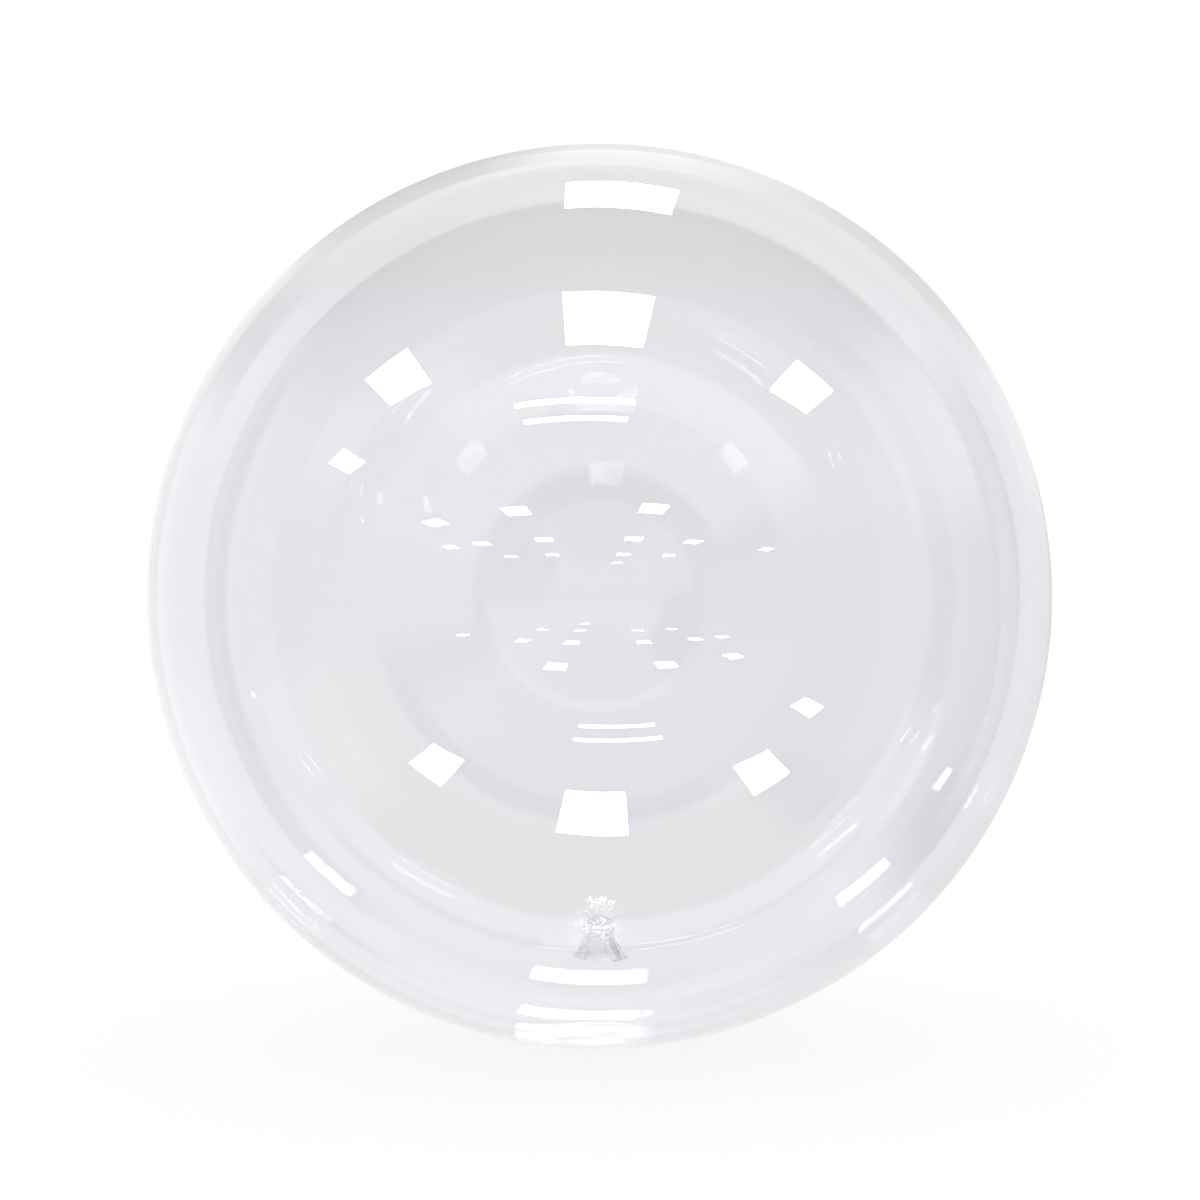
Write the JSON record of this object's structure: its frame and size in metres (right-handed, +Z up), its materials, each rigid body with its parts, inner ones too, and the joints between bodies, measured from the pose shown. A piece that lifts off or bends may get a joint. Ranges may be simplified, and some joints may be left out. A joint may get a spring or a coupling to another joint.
{
  "type": "clear bubble balloon",
  "caption": "Round clear film balloon, blown tight, lying loose with its own knotted neck and short flared tail low at the back.",
  "frame": {"origin": "middle of the small flat spot under the balloon, on the surface that it lies on", "axes": "+Z up, +Y level and away from the viewer, towards the side where the neck is, +X to the viewer's right"},
  "size_m": [0.457, 0.4571, 0.4553],
  "materials": {
    "clear_film": "clear, thin and glossy blown plastic film with a faint lavender tint"
  },
  "bodies": {
    "root": {"balloon_skin": "clear_film"}
  },
  "joints": []
}
